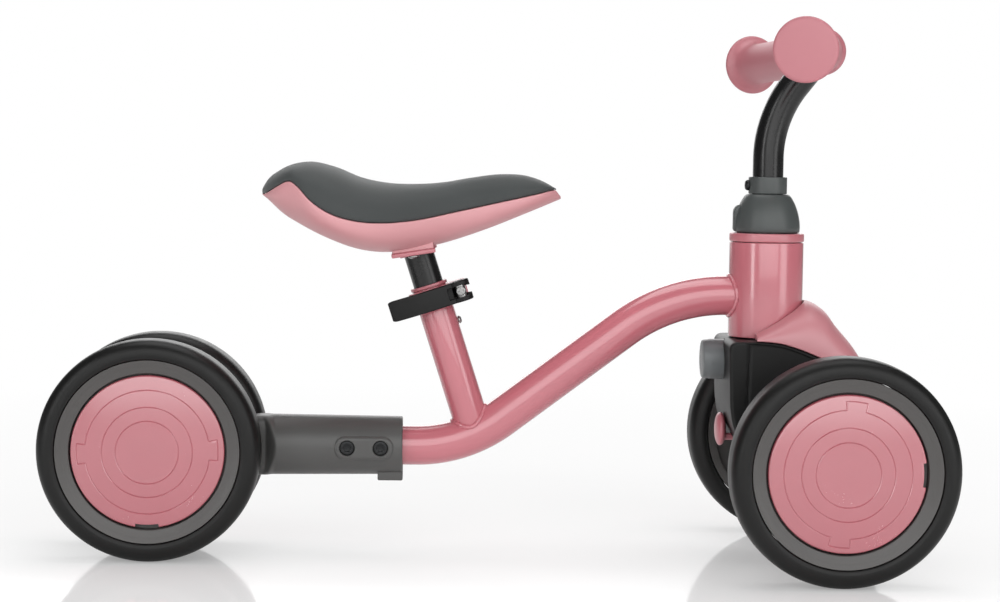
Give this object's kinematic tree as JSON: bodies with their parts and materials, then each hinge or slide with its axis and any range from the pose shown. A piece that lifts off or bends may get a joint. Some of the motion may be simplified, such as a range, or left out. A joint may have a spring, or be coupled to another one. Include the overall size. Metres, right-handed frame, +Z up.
{
  "type": "balance bike",
  "caption": "Toddler ride-on balance bike with a bent tube frame, steerable wide front wheels, close-set rear wheels and a height-adjustable padded seat.",
  "frame": {"origin": "on the ground, half way between the front and rear axles and on the bike's middle plane", "axes": "+X forward, +Y to the rider's left, +Z up"},
  "size_m": [0.565, 0.2364, 0.342],
  "materials": {
    "frame_paint": "gloss",
    "pink_plastic": "satin",
    "grip_rubber": "matte",
    "grey_plastic": "satin",
    "rim_plastic": "satin",
    "black_plastic": "satin",
    "black_paint": "gloss",
    "black_screw": "satin",
    "tyre_foam": "satin",
    "steel": "satin",
    "nylon": "satin",
    "seat_foam": "matte"
  },
  "bodies": {
    "frame": {"main_tube": "frame_paint", "seat_tube": "frame_paint", "post_bush": "pink_plastic", "guide_screw": "steel", "head_tube": "frame_paint", "head_tube_cap": "pink_plastic", "upper_bush": "nylon", "lower_bush": "nylon", "rear_housing": "grey_plastic", "housing_screw_1": "black_screw", "housing_screw_2": "black_screw", "housing_nut_1": "black_screw", "housing_nut_2": "black_screw", "rear_axle": "steel", "rear_axle_nut_left": "steel", "rear_axle_nut_right": "steel", "clamp_collar": "frame_paint", "clamp_bolt": "steel", "clamp_barrel": "steel"},
    "steering": {"fork_body": "black_plastic", "front_cover": "pink_plastic", "steerer": "steel", "bell_collar": "grey_plastic", "stem_clamp_ring": "grey_plastic", "stem_clamp_screw": "black_screw", "handlebar_stem": "black_paint", "handlebar_crossbar": "black_paint", "grip_left": "grip_rubber", "grip_right": "grip_rubber", "front_axle": "steel", "front_axle_nut_left": "steel", "front_axle_nut_right": "steel", "lock_spring": "steel"},
    "seat": {"seat_post": "black_paint", "seat_bracket": "pink_plastic", "seat_screw_left": "steel", "seat_screw_right": "steel", "seat_shell": "pink_plastic", "seat_pad": "seat_foam"},
    "clamp_lever": {"clamp_lever": "black_plastic"},
    "lock_button": {"lock_button": "grey_plastic"},
    "axle_latch": {"axle_latch": "pink_plastic"},
    "wheel_front_left": {"tyre_front_left": "tyre_foam", "rim_front_left": "rim_plastic", "hubcap_front_left": "pink_plastic", "bush_front_left": "nylon"},
    "wheel_front_right": {"tyre_front_right": "tyre_foam", "rim_front_right": "rim_plastic", "hubcap_front_right": "pink_plastic", "bush_front_right": "nylon"},
    "wheel_rear_left": {"tyre_rear_left": "tyre_foam", "rim_rear_left": "rim_plastic", "hubcap_rear_left": "pink_plastic", "bush_rear_left": "nylon"},
    "wheel_rear_right": {"tyre_rear_right": "tyre_foam", "rim_rear_right": "rim_plastic", "hubcap_rear_right": "pink_plastic", "bush_rear_right": "nylon"}
  },
  "joints": [
    {"name": "steering_turn", "type": "hinge", "parent": "frame", "child": "steering", "pos_m": [0.1785, 0, 0.17], "axis": [0, 0, 1], "range_deg": [-30, 30]},
    {"name": "seat_height", "type": "slide", "parent": "frame", "child": "seat", "axis": [-0.309, 0, 0.9511], "range_m": [-0.018, 0.024]},
    {"name": "clamp_release", "type": "hinge", "parent": "frame", "child": "clamp_lever", "pos_m": [-0.01804, -0.0134, 0.17125], "axis": [-0.309, 0, 0.9511], "range_deg": [0, 150]},
    {"name": "lock_button_press", "type": "slide", "parent": "steering", "child": "lock_button", "axis": [1, 0, 0], "range_m": [0, 0.004], "stiffness_N_per_m": 400},
    {"name": "axle_latch_pull", "type": "slide", "parent": "steering", "child": "axle_latch", "axis": [-1, 0, 0], "range_m": [0, 0.004], "stiffness_N_per_m": 400},
    {"name": "front_left_spin", "type": "hinge", "parent": "steering", "child": "wheel_front_left", "pos_m": [0.2125, 0.1032, 0.07], "axis": [0, 1, 0], "continuous": true},
    {"name": "front_right_spin", "type": "hinge", "parent": "steering", "child": "wheel_front_right", "pos_m": [0.2125, -0.1032, 0.07], "axis": [0, 1, 0], "continuous": true},
    {"name": "rear_left_spin", "type": "hinge", "parent": "frame", "child": "wheel_rear_left", "pos_m": [-0.2125, 0.02965, 0.07], "axis": [0, 1, 0], "continuous": true},
    {"name": "rear_right_spin", "type": "hinge", "parent": "frame", "child": "wheel_rear_right", "pos_m": [-0.2125, -0.02965, 0.07], "axis": [0, 1, 0], "continuous": true}
  ]
}
